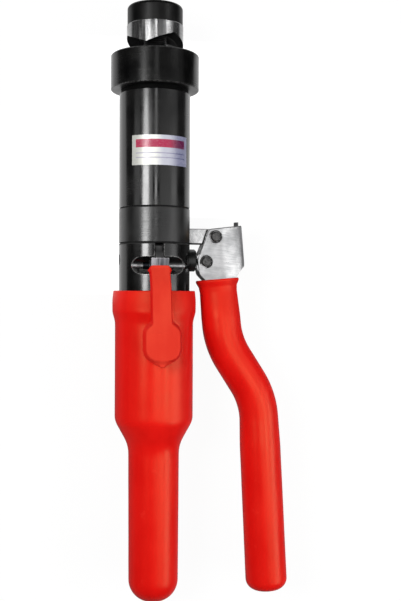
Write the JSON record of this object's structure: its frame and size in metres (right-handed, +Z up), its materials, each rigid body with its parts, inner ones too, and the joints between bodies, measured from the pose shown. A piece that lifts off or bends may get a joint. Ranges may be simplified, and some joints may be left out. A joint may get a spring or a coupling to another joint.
{
  "type": "hydraulic knock-out punch driver",
  "caption": "Hand-pumped hydraulic hole cutter: draw stud with slug-splitting punch and cup die on a black cylinder, red dipped handle, cranked pump lever and release paddle.",
  "frame": {"origin": "on the draw stud's axis, in the working face of the die, where the sheet lies", "axes": "+Y along the tool toward the punch, +X toward the pump lever, +Z up toward the release paddle, with the tool lying on its back"},
  "size_m": [0.1519, 0.5052, 0.0886],
  "materials": {
    "black_oxide": "black oxide, oiled",
    "tool_steel": "black hardened body with a bright ground cutting land",
    "zinc_plate": "bright zinc plate",
    "ground_steel": "ground",
    "ball_steel": "polished",
    "spring_steel": "drawn wire",
    "seal_rubber": "moulded",
    "bronze": "turned",
    "red_vinyl": "dip-moulded soft vinyl, satin",
    "label_film": "plain printed film"
  },
  "bodies": {
    "body": {"cylinder_barrel": "black_oxide", "head_nut": "black_oxide", "rod_seal": "seal_rubber", "rod_wiper": "seal_rubber", "head_oring": "seal_rubber", "die": "black_oxide", "cylinder_base": "black_oxide", "base_oring": "seal_rubber", "pump_body": "black_oxide", "pump_oring": "seal_rubber", "pivot_lug": "zinc_plate", "lug_dowel": "black_oxide", "pivot_bush": "bronze", "gland_nut": "black_oxide", "plunger_seal": "seal_rubber", "plunger_wiper": "seal_rubber", "suction_seat": "black_oxide", "suction_spring": "spring_steel", "delivery_plug": "black_oxide", "delivery_spring": "spring_steel", "relief_screw": "black_oxide", "relief_spring": "spring_steel", "release_pin": "zinc_plate", "release_bush": "black_oxide", "release_spring": "spring_steel", "passage_plugs": "black_oxide", "handle_housing": "black_oxide", "handle_sleeve": "red_vinyl", "oil_bladder": "seal_rubber", "bladder_clamp": "zinc_plate", "filler_plug": "black_oxide", "blank_label": "label_film", "return_spring": "spring_steel"},
    "ram": {"draw_stud": "black_oxide", "punch": "tool_steel", "piston": "ground_steel", "piston_seal": "seal_rubber", "piston_wear_ring": "bronze"},
    "pump_lever": {"lever_head": "zinc_plate", "lever_spigot": "zinc_plate", "lever_tube": "zinc_plate", "lever_grip": "red_vinyl", "pivot_pin": "black_oxide", "plunger_pin": "black_oxide", "pin_clips": "black_oxide", "plunger_spacers": "zinc_plate"},
    "plunger": {"pump_plunger": "ground_steel"},
    "release": {"release_lever": "zinc_plate", "release_paddle": "red_vinyl"},
    "release_valve": {"release_spindle": "ground_steel", "release_ball": "ball_steel"},
    "suction_valve": {"suction_ball": "ball_steel"},
    "delivery_valve": {"delivery_ball": "ball_steel"},
    "relief_valve": {"relief_ball": "ball_steel"}
  },
  "joints": [
    {"name": "lever_swing", "type": "hinge", "parent": "body", "child": "pump_lever", "pos_m": [0.0504, -0.1502, 0], "axis": [0, 0, 1], "range_deg": [0, 41]},
    {"name": "plunger_slide", "type": "slide", "parent": "body", "child": "plunger", "axis": [1, 0, 0], "range_m": [0, 0.0159]},
    {"name": "ram_slide", "type": "slide", "parent": "body", "child": "ram", "axis": [0, -1, 0], "range_m": [0, 0.018], "stiffness_N_per_m": 2000, "springref_m": -0.01, "deforming": ["return_spring"]},
    {"name": "release_press", "type": "hinge", "parent": "body", "child": "release", "pos_m": [0, -0.1752, 0.0186], "axis": [1, 0, 0], "range_deg": [0, 2.5], "stiffness_Nm_per_rad": 3, "springref_deg": -5.73, "deforming": ["release_spring"]},
    {"name": "release_slide", "type": "slide", "parent": "body", "child": "release_valve", "axis": [0, 0, -1], "range_m": [0, 0.0008]},
    {"name": "suction_lift", "type": "slide", "parent": "body", "child": "suction_valve", "axis": [0, 1, 0], "range_m": [0, 0.001], "stiffness_N_per_m": 200, "springref_m": -0.002, "deforming": ["suction_spring"]},
    {"name": "delivery_lift", "type": "slide", "parent": "body", "child": "delivery_valve", "axis": [0, 1, 0], "range_m": [0, 0.001], "stiffness_N_per_m": 200, "springref_m": -0.002, "deforming": ["delivery_spring"]},
    {"name": "relief_lift", "type": "slide", "parent": "body", "child": "relief_valve", "axis": [-1, 0, 0], "range_m": [0, 0.001], "stiffness_N_per_m": 1000, "springref_m": -0.004, "deforming": ["relief_spring"]}
  ],
  "couplings": [
    {"joint": "plunger_slide", "follows": "lever_swing", "m_per_rad": 0.02205},
    {"joint": "release_slide", "follows": "release_press", "m_per_rad": 0.0148}
  ]
}
